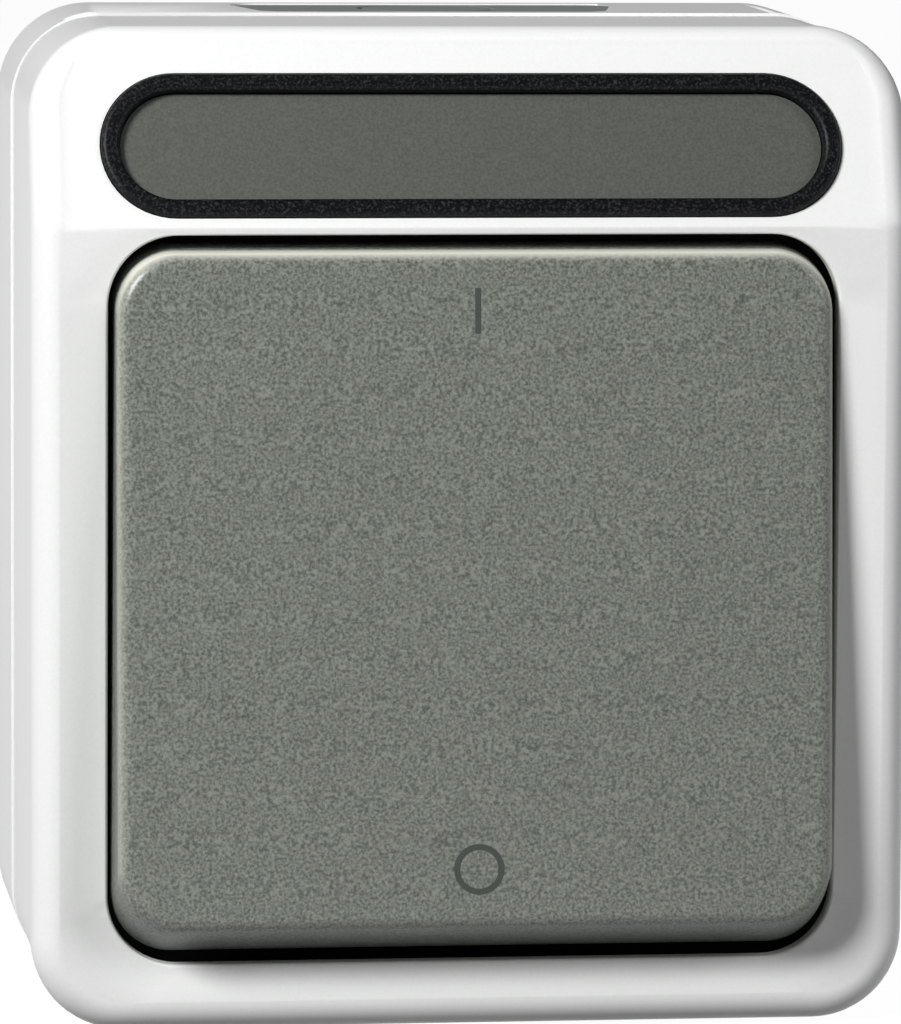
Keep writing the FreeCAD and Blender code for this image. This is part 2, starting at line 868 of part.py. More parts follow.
def make_rocker_cap():
    face = pivot_depth + rocker_rise
    cap = rocker_form(0, 0, rocker_rim, rocker_corner)
    cap = rounded(cap, rocker_edge, lambda edge: abs(-middle_of(edge).y - face) < 0.01)
    cap = cap.cut(rocker_form(cap_wall, cap_face, rocker_rim - 1, rocker_corner - cap_wall))
    inside = face - cap_face
    added = []
    for side in (-1, 1):
        rib_x = side * cap_rib_x
        added.append(
            block(
                rib_x - cap_rib / 2,
                rib_x + cap_rib / 2,
                inside - cap_rib_height,
                inside + cap_face / 2,
                pivot_z - rocker_sweep + 3 * cap_wall,
                pivot_z + rocker_sweep - 3 * cap_wall,
            )
        )
        rib_z = pivot_z + side * cap_rib_z
        added.append(
            block(
                -rocker_width / 2 + cap_wall / 2,
                rocker_width / 2 - cap_wall / 2,
                inside - cap_rib_height,
                inside + cap_face / 2,
                rib_z - cap_rib / 2,
                rib_z + cap_rib / 2,
            )
        )
    plate_face = pivot_depth + cradle_plate_rear + cradle_plate_wall
    removed = []
    for x, z in cap_post_places():
        added.append(rod(x, z, cap_post_radius, plate_face, inside + cap_face / 2))
        pin_room = plate_face + cap_pin_height + cap_pin_gap
        removed.append(rod(x, z, cap_pin_radius + cap_pin_gap, plate_face, pin_room))
    cap = joined([cap] + added).common(rocker_form(0, 0, rocker_rim, rocker_corner))
    cap = cap.cut(joined(removed))
    return about_pivot(cap, -rest_tilt)


def cap_post_places():
    for side in (-1, 1):
        for level in (-1, 1):
            yield side * cap_post_x, pivot_z + level * cap_post_z


def make_actuator_cradle():
    plate_rear_depth = pivot_depth + cradle_plate_rear
    plate_face = plate_rear_depth + cradle_plate_wall
    neck_top = plate_face - cradle_plate_wall / 2
    solids = [
        slab(neck_half_width, neck_half_height, neck_radius, pivot_depth - neck_rear, neck_top, 0, pivot_z),
        slab(cradle_half_width, cradle_half_height, cradle_radius, plate_rear_depth, plate_face, 0, pivot_z),
        cross_rod(
            pivot_depth,
            pivot_z,
            pivot_radius,
            -neck_half_width - pivot_pin_length,
            neck_half_width + pivot_pin_length,
        ),
    ]
    for x, z in cap_post_places():
        solids.append(rod(x, z, cap_pin_radius, neck_top, plate_face + cap_pin_height))
    bores = []
    bore_radius = plunger_radius + plunger_guide_gap
    bore_rear = pivot_depth - neck_rear - 1
    for side in (-1, 1):
        bores.append(rod(side * pole_offset, pivot_z, bore_radius, bore_rear, pivot_depth + spring_top))
    return about_pivot(joined(solids).cut(joined(bores)), -rest_tilt)


def make_rocker_seal():
    """Rubber membrane: a flange behind the partition, a wall through it and a lip round the neck."""
    opening_w = neck_half_width + neck_opening_side - seal_fit
    opening_h = neck_half_height + neck_opening_end - seal_fit
    flange_rear = floor_rear - seal_flange_wall
    sheet_front = floor_rear + seal_sheet_rise
    sheet_rear = sheet_front - seal_wall
    lip_front = sheet_front + seal_lip_height
    radius = neck_opening_radius

    def layer(half_w, half_h, corner, rear, front):
        return slab(half_w, half_h, corner, rear, front, 0, pivot_z)

    flange_w = opening_w + seal_flange
    flange_h = opening_h + seal_flange
    flange = layer(flange_w, flange_h, radius + seal_flange, flange_rear, floor_rear)
    wall = layer(opening_w, opening_h, radius, flange_rear, sheet_front)
    hollow = layer(opening_w - seal_wall, opening_h - seal_wall, radius - seal_wall, flange_rear, sheet_rear)
    hole_w = neck_half_width + seal_side_gap
    hole_h = neck_half_height + seal_end_gap
    lip = layer(hole_w + seal_wall, hole_h + seal_wall, neck_radius + seal_wall, sheet_rear, lip_front)
    hole = layer(hole_w, hole_h, neck_radius, flange_rear, lip_front + 1)
    return joined([joined([flange, wall]).cut(hollow), lip]).cut(hole)


# Plungers, springs and moving contacts

def make_plunger(side):
    x = side * pole_offset
    tip_centre = pivot_depth - plunger_end + plunger_tip_radius
    solids = [
        Part.makeSphere(plunger_tip_radius, at(x, tip_centre, pivot_z)),
        rod(x, pivot_z, plunger_tip_radius, tip_centre, pivot_depth - neck_rear),
        rod(x, pivot_z, plunger_radius, pivot_depth - neck_rear, pivot_depth - plunger_body_end),
        rod(
            x,
            pivot_z,
            plunger_pilot_radius,
            pivot_depth - plunger_body_end,
            pivot_depth - plunger_body_end + plunger_pilot_length,
        ),
    ]
    return about_pivot(joined(solids), -rest_tilt)


def make_spring(side):
    """Compression spring: six-sided wire wound from section to section about the plunger's axis."""
    rear = pivot_depth - plunger_body_end + spring_wire
    length = spring_top - spring_wire + plunger_body_end - spring_wire
    steps = round(spring_turns * spring_steps)
    sections = []
    for step in range(steps + 1):
        turn = 2 * math.pi * step / spring_steps
        depth = rear + length * step / steps
        corners = []
        for corner in range(7):
            around = math.pi * corner / 3
            radius = spring_radius + spring_wire * math.cos(around)
            lift = spring_wire * math.sin(around)
            x = side * pole_offset + radius * math.cos(turn)
            corners.append(at(x, depth + lift, pivot_z + radius * math.sin(turn)))
        sections.append(Part.makePolygon(corners))
    return about_pivot(Part.makeLoft(sections, True, True), -rest_tilt)


def make_contact_rocker(side):
    x = side * pole_offset
    rear = contact_depth + contact_face - contact_thickness
    front = contact_depth + contact_face
    bottom = pivot_z - contact_arm - contact_end
    top = pivot_z + contact_tail
    left = x - contact_half_width
    right = x + contact_half_width
    strip = block(left, right, rear, front, bottom, top)
    rib = cross_rod(contact_depth, pivot_z, contact_rib_radius, left, right)
    rib = rib.common(block(left, right, 0, (rear + front) / 2, bottom, top))
    pad = rod(x, pivot_z - contact_arm, contact_pad_radius, rear - contact_pad_height, rear)
    shape = joined([strip, rib, pad])
    shape.rotate(at(0, contact_depth, pivot_z), ACROSS, contact_swing)
    return shape


# Fixed parts of the mechanism

def pad_front_depth():
    """Where the fixed pad stands so that the closed contact clears it by its gap."""
    swing = math.radians(contact_swing)
    pad_rear = contact_face - contact_thickness - contact_pad_height
    reach_down = contact_arm + contact_pad_radius
    return contact_depth + pad_rear * math.cos(swing) - reach_down * math.sin(swing) - contact_pad_gap


def make_line_terminal(side):
    x = side * pole_offset
    bottom = pivot_z + terminal_start
    cage = terminal_cage(
        x, socket_floor, socket_floor + terminal_depth, bottom, bottom + terminal_length, terminal_half_width
    )
    strip = block(
        x - strip_half_width,
        x + strip_half_width,
        socket_floor,
        socket_floor + strip_thickness,
        pivot_z - post_half_height,
        bottom,
    )
    swing = math.radians(contact_swing)
    post_top = contact_depth + contact_face - contact_thickness - post_half_height * math.sin(swing)
    post_top -= contact_rib_gap
    post = block(
        x - post_half_width,
        x + post_half_width,
        socket_floor,
        post_top,
        pivot_z - post_half_height,
        pivot_z + post_half_height,
    )
    groove = cross_rod(contact_depth, pivot_z, contact_seat, x - post_half_width, x + post_half_width)
    return joined([cage, strip, post]).cut(groove)


def make_load_terminal(side):
    x = side * pole_offset
    top = pivot_z - terminal_start
    cage = terminal_cage(
        x, socket_floor, socket_floor + terminal_depth, top - terminal_length, top, terminal_half_width
    )
    pad_z = pivot_z - contact_arm
    strip = block(
        x - strip_half_width,
        x + strip_half_width,
        socket_floor,
        socket_floor + strip_thickness,
        top,
        pad_z + post_half_height,
    )
    shoulder = pad_front_depth() - contact_pad_height
    post = block(
        x - post_half_width,
        x + post_half_width,
        socket_floor,
        shoulder,
        pad_z - post_half_height,
        pad_z + post_half_height,
    )
    pad = rod(x, pad_z, contact_pad_radius, shoulder, pad_front_depth())
    return joined([cage, strip, post, pad])


def make_terminal_screws():
    seat = socket_floor + terminal_depth
    screws = []
    for side in (-1, 1):
        for level in (-1, 1):
            z = pivot_z + level * (terminal_start + terminal_length / 2)
            screws.append(terminal_screw(side * pole_offset, z, seat))
    return Part.makeCompound(screws)


def make_switch_socket():
    """Moulded tray with a chamber for each pole and an open pocket for each terminal."""
    body = slab(socket_half_width, socket_half_height, socket_radius, socket_rear, plate_rear, 0, pivot_z)
    stub_h = chamber_half_height + stub_wall
    stub = slab(stub_half_width, stub_h, stub_radius, plate_rear - 1, plate_front, 0, pivot_z)
    removed = []
    for side in (-1, 1):
        x = side * pole_offset
        removed.append(
            block(
                x - chamber_half_width,
                x + chamber_half_width,
                socket_floor,
                plate_front + 1,
                pivot_z - chamber_half_height,
                pivot_z + chamber_half_height,
            )
        )
        for level in (-1, 1):
            inner = pivot_z + level * (terminal_start - terminal_gap)
            outer = pivot_z + level * (socket_half_height + 1)
            bottom, top = sorted((inner, outer))
            pocket = terminal_half_width + terminal_gap
            removed.append(block(x - pocket, x + pocket, socket_floor, plate_rear + 1, bottom, top))
            low, high = sorted((pivot_z + level * (chamber_half_height - 1), inner + level))
            strip_top = socket_floor + strip_thickness + clearance_gap
            strip_w = strip_half_width + clearance_gap
            removed.append(block(x - strip_w, x + strip_w, socket_floor, strip_top, low, high))
    return joined([body, stub]).cut(joined(removed))


def make_support_plate():
    half_bar = support_spacing / 2 + support_boss_radius
    ring_h = chamber_half_height + stub_wall + plate_fit + plate_ring
    ring_w = stub_half_width + plate_fit + plate_ring
    plate = joined(
        [
            slab(half_bar, plate_bar_half_height, support_boss_radius, plate_rear, plate_front, 0, pivot_z),
            slab(ring_w, ring_h, socket_radius, plate_rear, plate_front, 0, pivot_z),
        ]
    )
    window = slab(
        stub_half_width + plate_fit,
        chamber_half_height + stub_wall + plate_fit,
        stub_radius + plate_fit,
        plate_rear - 1,
        plate_front + 1,
        0,
        pivot_z,
    )
    removed = [window]
    for x, z in support_places():
        removed.append(rod(x, z, support_screw_radius + clearance_gap, plate_rear - 1, plate_front + 1))
    return plate.cut(joined(removed))


def make_support_screws():
    return Part.makeCompound(
        [
            screw(
                x,
                z,
                plate_front,
                screw_head_radius,
                screw_head_height,
                support_screw_radius,
                support_screw_reach + plate_wall,
            )
            for x, z in support_places()
        ]
    )


def make_mechanism_cover():
    """Plate over the chambers with two ears that carry the cradle's pins."""
    half_w = mechanism_half_width
    half_h = mechanism_half_height
    solids = [slab(half_w, half_h, socket_radius, plate_front, mechanism_front, 0, pivot_z)]
    removed = []
    for side in (-1, 1):
        inner = side * (neck_half_width + ear_gap)
        left, right = sorted((inner, inner + side * ear_wall))
        ear_shape = [
            (plate_front + mechanism_wall / 2, pivot_z - ear_foot),
            (mechanism_front, pivot_z - ear_foot),
            (mechanism_front + ear_foot_height, pivot_z - ear_radius),
            (pivot_depth, pivot_z - ear_radius),
            (pivot_depth, pivot_z + ear_radius),
            (mechanism_front + ear_foot_height, pivot_z + ear_radius),
            (mechanism_front, pivot_z + ear_foot),
            (plate_front + mechanism_wall / 2, pivot_z + ear_foot),
        ]
        solids.append(side_plate(ear_shape, left, right))
        solids.append(cross_rod(pivot_depth, pivot_z, ear_radius, left, right))
        removed.append(cross_rod(pivot_depth, pivot_z, pivot_radius + pivot_clearance, left - 1, right + 1))
        removed.append(
            block(
                left - 1,
                right + 1,
                pivot_depth,
                pivot_depth + ear_radius + 1,
                pivot_z - ear_slot / 2,
                pivot_z + ear_slot / 2,
            )
        )
        removed.append(
            slab(
                plunger_slot_width,
                plunger_slot_height,
                plunger_slot_width,
                plate_front - 1,
                mechanism_front + 1,
                side * pole_offset,
                pivot_z,
            )
        )
    return joined(solids).cut(joined(removed))


def make_cover_screws():
    return Part.makeCompound(
        [
            screw(
                x,
                z,
                floor_front,
                screw_head_radius,
                screw_head_height,
                cover_screw_radius,
                floor_front - column_top + cover_screw_reach,
            )
            for x, z in column_places()
        ]
    )


def make_earth_terminal():
    rear = base_back + earth_boss_height
    return terminal_cage(
        0, rear, rear + earth_depth, earth_z - earth_length / 2, earth_z + earth_length / 2, earth_half_width
    )


def make_earth_screw():
    return terminal_screw(0, earth_z, base_back + earth_boss_height + earth_depth)


def main():
    os.makedirs("parts", exist_ok=True)
    pieces = {
        "rear_base": make_rear_base(),
        "base_gasket": make_base_gasket(),
        "cable_grommet": make_cable_grommet(),
        "upper_housing": make_upper_housing(),
        "front_cover": make_front_cover(),
        "label_bezel": make_label_bezel(),
        "label_plate": make_label_plate(),
        "rocker_cap": make_rocker_cap(),
        "actuator_cradle": make_actuator_cradle(),
        "rocker_seal": make_rocker_seal(),
        "switch_socket": make_switch_socket(),
        "support_plate": make_support_plate(),
        "support_screws": make_support_screws(),
        "mechanism_cover": make_mechanism_cover(),
        "terminal_screws": make_terminal_screws(),
        "cover_screws": make_cover_screws(),
        "earth_terminal": make_earth_terminal(),
        "earth_screw": make_earth_screw(),
    }
    for hand, side in (("left", -1), ("right", 1)):
        pieces["plunger_" + hand] = make_plunger(side)
        pieces["spring_" + hand] = make_spring(side)
        pieces["contact_rocker_" + hand] = make_contact_rocker(side)
        pieces["line_terminal_" + hand] = make_line_terminal(side)
        pieces["load_terminal_" + hand] = make_load_terminal(side)
    for name, shape in pieces.items():
        shape.exportStep(os.path.join("parts", name + ".step"))
        print(name, len(shape.Solids), shape.isValid(), round(shape.Volume, 1))


main()
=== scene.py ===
import json
import math

import bmesh
import bpy
from mathutils import Matrix, Vector


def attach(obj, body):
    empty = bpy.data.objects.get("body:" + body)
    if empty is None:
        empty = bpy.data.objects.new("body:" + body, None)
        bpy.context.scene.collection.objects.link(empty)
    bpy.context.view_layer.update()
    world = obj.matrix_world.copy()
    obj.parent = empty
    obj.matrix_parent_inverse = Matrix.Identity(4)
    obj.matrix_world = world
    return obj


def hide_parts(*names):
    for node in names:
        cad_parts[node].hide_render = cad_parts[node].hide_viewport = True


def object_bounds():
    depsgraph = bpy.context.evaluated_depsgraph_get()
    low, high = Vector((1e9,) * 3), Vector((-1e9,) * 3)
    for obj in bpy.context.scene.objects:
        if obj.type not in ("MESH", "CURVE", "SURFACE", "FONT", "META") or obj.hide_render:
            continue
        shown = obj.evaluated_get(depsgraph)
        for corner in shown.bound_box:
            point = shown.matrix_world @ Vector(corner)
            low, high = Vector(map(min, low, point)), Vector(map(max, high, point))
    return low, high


# Surface-mounted weatherproof rocker switch, dressed and lit for its picture.
# Lengths are metres in the frame of the model: the wall is Y = 0, the front faces -Y, +Z is up.

MM = 0.001

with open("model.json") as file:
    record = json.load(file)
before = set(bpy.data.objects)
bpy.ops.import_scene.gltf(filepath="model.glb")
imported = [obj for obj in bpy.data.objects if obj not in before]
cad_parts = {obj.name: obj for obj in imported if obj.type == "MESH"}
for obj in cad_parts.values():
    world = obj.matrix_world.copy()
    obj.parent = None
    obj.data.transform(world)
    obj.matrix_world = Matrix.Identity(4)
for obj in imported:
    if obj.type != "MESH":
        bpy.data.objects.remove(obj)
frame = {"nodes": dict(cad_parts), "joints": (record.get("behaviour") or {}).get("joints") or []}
cad_low, cad_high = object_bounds()
middle = (cad_low + cad_high) / 2
nodes = frame["nodes"]
scene = bpy.context.scene


# Colours and node building

pure_white = (1, 1, 1, 1)


def linear(hex_colour):
    """A colour written as sRGB hex, as the linear values a shader takes."""
    channels = []
    for byte in bytes.fromhex(hex_colour[1:]):
        value = byte / 255
        if value <= 0.04045:
            channels.append(value / 12.92)
        else:
            channels.append(((value + 0.055) / 1.055) ** 2.4)
    return (*channels, 1.0)


def emptied(holder):
    """A material or a world with all its nodes taken away."""
    holder.use_nodes = True
    holder.node_tree.nodes.clear()
    return holder


def add_node(holder, kind, inputs=None, **settings):
    """A node with its settings, its input values and the links that feed it."""
    tree = holder.node_tree
    node = tree.nodes.new(kind)
    for name, value in settings.items():
        setattr(node, name, value)
    for name, value in (inputs or {}).items():
        if isinstance(value, bpy.types.NodeSocket):
            tree.links.new(value, node.inputs[name])
        else:
            node.inputs[name].default_value = value
    return node


# Grain: how rich its noise is, how many grains the soft drift runs over, the range in which
# most of that noise lies, and how far the roughness goes up and down with the grain
grain_detail, grain_harshness = 3.0, 0.6
plain_detail = 2.0
drift_grains = 40
drift_low, drift_high = 0.3, 0.7
moulded_spread = 0.06
metal_spread = 0.1

# A pale painted highlight on the roundings begins where the surface turns off the face (cosine to
# the face), fades where it looks down (height of its normal) and ends this many roundings below the
# face
on_face, off_face = 0.93, 0.5
looks_down, looks_up = -0.3, 0.7
highlight_reach = 1.5


def close_grained(material, height, depth, roughness, spread, look):
    """Closes a material with one shader whose roughness and bump follow the grain's height."""
    rough = add_node(
        material,
        "ShaderNodeMapRange",
        {"Value": height, "To Min": roughness - spread, "To Max": roughness + spread},
    ).outputs["Result"]
    bump = add_node(
        material, "ShaderNodeBump", {"Height": height, "Strength": 1.0, "Distance": depth}
    ).outputs["Normal"]
    shader = add_node(
        material, "ShaderNodeBsdfPrincipled", {**look, "Roughness": rough, "Normal": bump}
    ).outputs["BSDF"]
    add_node(material, "ShaderNodeOutputMaterial", {"Surface": shader})


def painted_highlight_share(material, place, face_point, face_normal, edge):
    """How much painted highlight each spot gets: fully on the face's roundings, less where they
    look down.
    """
    facing = add_node(material, "ShaderNodeTexCoord").outputs["Normal"]
    turned = add_node(
        material, "ShaderNodeVectorMath", {0: facing, 1: face_normal}, operation="DOT_PRODUCT"
    ).outputs["Value"]
    upward = add_node(material, "ShaderNodeSeparateXYZ", {"Vector": facing}).outputs["Z"]
    from_face = add_node(
        material, "ShaderNodeVectorMath", {0: place, 1: face_point}, operation="SUBTRACT"
    ).outputs["Vector"]
    proud = add_node(
        material, "ShaderNodeVectorMath", {0: from_face, 1: face_normal}, operation="DOT_PRODUCT"
    ).outputs["Value"]
    share = 1.0
    for value, none_at, all_at in (
        (turned, on_face, off_face),
        (upward, looks_down, looks_up),
        (proud, -highlight_reach * edge, -edge),
    ):
        part = add_node(
            material,
            "ShaderNodeMapRange",
            {"Value": value, "From Min": none_at, "From Max": all_at, "To Min": 0.0, "To Max": 1.0},
        ).outputs["Result"]
        share = add_node(
            material, "ShaderNodeMath", {0: share, 1: part}, operation="MULTIPLY"
        ).outputs["Value"]
    return share


def grained(
    name,
    colour,
    fleck,
    fleck_share,
    grain,
    depth,
    roughness,
    ior=1.5,
    drift=0.0,
    gloss=0.5,
    fleck_from=0.35,
    fleck_to=0.65,
    painted_highlight=None,
):
    """Moulded surface with a fine grain: flecks of a second colour, soft drift and bump."""
    material = emptied(bpy.data.materials.new(name))
    place = add_node(material, "ShaderNodeTexCoord").outputs["Object"]
    fine = add_node(
        material,
        "ShaderNodeTexNoise",
        {
            "Vector": place,
            "Scale": 1 / grain,
            "Detail": grain_detail,
            "Roughness": grain_harshness,
        },
    ).outputs["Fac"]
    flecks = add_node(
        material,
        "ShaderNodeMapRange",
        {
            "Value": fine,
            "From Min": fleck_from,
            "From Max": fleck_to,
            "To Min": 0.0,
            "To Max": fleck_share,
        },
    ).outputs["Result"]
    colour_now = add_node(
        material,
        "ShaderNodeMix",
        {"Factor": flecks, "A": linear(colour), "B": linear(fleck)},
        data_type="RGBA",
    ).outputs["Result"]
    if drift:
        wide = add_node(
            material,
            "ShaderNodeTexNoise",
            {"Vector": place, "Scale": 1 / (drift_grains * grain), "Detail": plain_detail},
        ).outputs["Fac"]
        shade = add_node(
            material,
            "ShaderNodeMapRange",
            {
                "Value": wide,
                "From Min": drift_low,
                "From Max": drift_high,
                "To Min": 1 - drift,
                "To Max": 1 + drift,
            },
        ).outputs["Result"]
        colour_now = add_node(
            material, "ShaderNodeVectorMath", {0: colour_now, "Scale": shade}, operation="SCALE"
        ).outputs["Vector"]
    # Painted highlight: a pale colour mixed into the roundings, strongest where they look up
    if painted_highlight:
        highlight_colour, face_point, face_normal, edge = painted_highlight
        share = painted_highlight_share(material, place, face_point, face_normal, edge)
        colour_now = add_node(
            material,
            "ShaderNodeMix",
            {"Factor": share, "A": colour_now, "B": linear(highlight_colour)},
            data_type="RGBA",
        ).outputs["Result"]
    look = {"Base Color": colour_now, "IOR": ior, "Specular IOR Level": gloss}
    close_grained(material, fine, depth, roughness, moulded_spread, look)
    return material


def metal(name, colour, grain, depth, roughness):
    """Bare or plated metal with a faint worked grain."""
    material = emptied(bpy.data.materials.new(name))
    place = add_node(material, "ShaderNodeTexCoord").outputs["Object"]
    fine = add_node(
        material,
        "ShaderNodeTexNoise",
        {"Vector": place, "Scale": 1 / grain, "Detail": plain_detail},
    ).outputs["Fac"]
    look = {"Base Color": linear(colour), "Metallic": 1.0}
    close_grained(material, fine, depth, roughness, metal_spread, look)
    return material


# Materials

abs_ior = 1.54

# Impact-resistant ABS from a finely eroded tool: near white, a soft sheen on its roundings
white_abs = grained(
    "white_abs_fine_eroded",
    colour="#F0F1F0",
    fleck="#EAEBEA",
    fleck_share=0.6,
    grain=0.22 * MM,
    depth=0.002 * MM,
    roughness=0.42,
    ior=abs_ior,
)

# Rocker: its pivot, its face as it lies at rest, and the rounding of its edges
rocker_joint = next(joint for joint in frame["joints"] if joint["name"] == "rocker_tilt")
pivot = Vector(rocker_joint["pos_m"])
rest_tilt = math.radians(-rocker_joint["range_deg"][1] / 2)
face_rise = 15.5 * MM
face_out = Vector((0, -math.cos(rest_tilt), -math.sin(rest_tilt)))
face_middle = pivot + face_rise * face_out
rocker_edge = 1.3 * MM

# The same ABS pigmented grey, from a coarser grained tool: matt, with light and dark specks,
# and a pale painted highlight on its roundings, strongest where they look up
grey_abs = grained(
    "grey_abs_coarse_grained",
    colour="#51564F",
    fleck="#8C9188",
    fleck_share=1.0,
    grain=0.26 * MM,
    depth=0.014 * MM,
    roughness=0.34,
    ior=abs_ior,
    drift=0.02,
    # Pale painted highlight on the rocker's roundings, in place of the top lamp's sheen
    painted_highlight=("#D8D8CC", face_middle, face_out, rocker_edge),
)

# Black ABS ring with a close grain: a grey bloom where the lamp reaches it, near black elsewhere
black_abs = grained(
    "black_abs_close_grained",
    colour="#030406",
    fleck="#3C3C41",
    fleck_share=1.0,
    grain=0.22 * MM,
    depth=0.012 * MM,
    roughness=0.45,
    gloss=0.15,
    fleck_from=0.5,
    fleck_to=0.75,
)

# Grey ABS insert of the label field: smoother than the rocker, and darker
label_abs = grained(
    "label_insert_abs",
    colour="#464944",
    fleck="#595C56",
    fleck_share=0.8,
    grain=0.24 * MM,
    depth=0.006 * MM,
    roughness=0.5,
    ior=abs_ior,
)

# Thermoplastic elastomer of the cable entry: soft grey without shine
grey_elastomer = grained(
    "cable_entry_elastomer",
    colour="#7F8583",
    fleck="#8B918F",
    fleck_share=0.6,
    grain=0.3 * MM,
    depth=0.01 * MM,
    roughness=0.7,
    ior=1.48,
)

# EPDM sponge and membrane rubber: near black and dry
black_rubber = grained(
    "epdm_rubber",
    colour="#1C1C1D",
    fleck="#262627",
    fleck_share=0.5,
    grain=0.3 * MM,
    depth=0.01 * MM,
    roughness=0.75,
    ior=1.52,
)

# Urea moulding of the socket and the mechanism's front: pale grey, hard and slightly shiny
urea = grained(
    "urea_insulator",
    colour="#B9B8B2",
    fleck="#C2C1BC",
    fleck_share=0.5,
    grain=0.3 * MM,
    depth=0.004 * MM,
    roughness=0.35,
    ior=1.56,
)

# Acetal of the cradle and plungers: dark, slippery, with a waxy sheen
acetal = grained(
    "black_acetal",
    colour="#2B2B2D",
    fleck="#353537",
    fleck_share=0.5,
    grain=0.3 * MM,
    depth=0.003 * MM,
    roughness=0.3,
    ior=1.48,
)

# Pressed steel, zinc plated: cool grey with a slight mottle
zinc_steel = metal(
    "zinc_plated_steel", colour="#B8BABD", grain=0.4 * MM, depth=0.002 * MM, roughness=0.35
)

# Cold-headed brass of terminals and contacts: warm yellow with drawing marks
brass = metal("drawn_brass", colour="#C9A560", grain=0.3 * MM, depth=0.002 * MM, roughness=0.32)

# Pad-printed marks in the rocker's grain: dark grey-green, as matt as the rocker
mark_ink = grained(
    "printed_mark_ink",
    colour="#3C413C",
    fleck="#474C46",
    fleck_share=0.6,
    grain=0.2 * MM,
    depth=0.004 * MM,
    roughness=0.55,
)


# Pieces

# Points this close are one point, and edges this short are none
joined_within = 0.002 * MM
speck = 0.0005 * MM

# Angles in degrees: facets this flat to each other are one flat face, and a bend sharper than
# the crease is a true edge, which on the front cover begins a little sooner
flat_limit = 0.2
plain_crease = 32
cover_crease = 25


def linked(name, data):
    """A new object with this data, placed in the scene."""
    thing = bpy.data.objects.new(name, data)
    scene.collection.objects.link(thing)
    return thing


def linked_mesh(name, work):
    """A new object from a mesh in progress, which is used up."""
    mesh = bpy.data.meshes.new(name)
    work.to_mesh(mesh)
    work.free()
    return linked(name, mesh)


def finish_piece(mesh_object, body, material):
    """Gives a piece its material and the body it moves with."""
    mesh_object.data.materials.clear()
    mesh_object.data.materials.append(material)
    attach(mesh_object, body)


def smooth_shell(node, name, body, material, crease=plain_crease, reshape=None):
    """The node's own shape as one joined mesh, shaded round except at true edges."""
    mesh = nodes[node].data.copy()
    mesh.name = name
    work = bmesh.new()
    work.from_mesh(mesh)
    bmesh.ops.remove_doubles(work, verts=work.verts, dist=joined_within)
    bmesh.ops.dissolve_degenerate(work, edges=work.edges, dist=speck)
    bmesh.ops.dissolve_limit(
        work,
        angle_limit=math.radians(flat_limit),
        verts=work.verts,
        edges=work.edges,
        delimit={"NORMAL"},
    )
    if reshape:
        reshape(work)
    work.to_mesh(mesh)
    work.free()
    mesh.shade_smooth()
    mesh.set_sharp_from_angle(angle=math.radians(crease))
    shell = linked(name, mesh)
    even = shell.modifiers.new("even_flats", "WEIGHTED_NORMAL")
    even.keep_sharp = True
    finish_piece(shell, body, material)
    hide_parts(node)


def dress(names, material):
    """Gives a material to pieces that are shown in their own shape."""
    for name in names:
        for place in nodes[name].material_slots:
            place.material = material


# Front cover, recess: its limits, the facet round it and the lip where that facet ends
recess_low, recess_high = -36.4 * MM, 25.0 * MM
recess_half = 30.7 * MM
facet_width = 2.4 * MM
facet_drop = 0.65 * MM
facet_reach = 1.05 * MM
facet_left_at_top = 0.1
lip_rise = 0.65 * MM

# Front cover, label panel: its slope, how deep and how wide it is sunk, and where it is level
panel_tilt = math.radians(22)
panel_out = Vector((0, -math.cos(panel_tilt), math.sin(panel_tilt)))
panel_sink = 0.15 * MM
panel_half_width = 33.5 * MM
panel_flat_from = 30 * MM

# A face is level with the panel above the first cosine and a wall of its step below the second
level_cosine, wall_cosine = 0.999, 0.5
near = 0.02 * MM


def each_once(items):
    """The items without repeats and in their first order, so that every run is the same."""
    return list(dict.fromkeys(items))


def fold_panel_step(work):
    """Turns the step round the sunk label panel into a soft fold."""
    upper = [vert for vert in work.verts if vert.co.z > panel_flat_from]
    level = max(vert.co.dot(panel_out) for vert in upper) - panel_sink

    def height(vert):
        """How far a point stands over the panel."""
        return vert.co.dot(panel_out) - level

    panel = {
        face
        for face in work.faces
        if face.normal.dot(panel_out) > level_cosine
        and all(abs(height(vert)) < near / 2 for vert in face.verts)
        and abs(face.calc_center_median().x) < panel_half_width
    }
    walls = [
        face
        for face in work.faces
        if face not in panel
        and abs(face.normal.dot(panel_out)) < wall_cosine
        and all(-near / 2 < height(vert) < panel_sink + near for vert in face.verts)
        and all(abs(vert.co.x) < panel_half_width + near for vert in face.verts)
        and all(vert.co.z > recess_high for vert in face.verts)
    ]
    wall_points = each_once(vert for face in walls for vert in face.verts)
    for vert in wall_points:
        vert.co -= height(vert) * panel_out
    bmesh.ops.remove_doubles(work, verts=wall_points, dist=near)
    seams = each_once(
        edge
        for face in walls
        if face.is_valid
        for edge in face.edges
        if any(other in panel for other in edge.link_faces)
    )
    bmesh.ops.dissolve_edges(work, edges=seams)


def soften_cover(work):
    """Softens the label panel's border and lets the facet run out towards the recess's top."""
    fold_panel_step(work)
    front = max(-vert.co.y for vert in work.verts)
    recess_middle = (recess_low + recess_high) / 2
    for vert in work.verts:
        sink = front + vert.co.y
        beside = abs(vert.co.x) < recess_half + facet_width
        between = recess_low - facet_width < vert.co.z < recess_high + lip_rise
        if beside and between and 0 < sink < facet_reach:
            rise = max(0.0, (vert.co.z - recess_middle) / (recess_high - recess_middle))
            vert.co.y -= min(rise, 1.0) * (1 - facet_left_at_top) * min(sink, facet_drop)


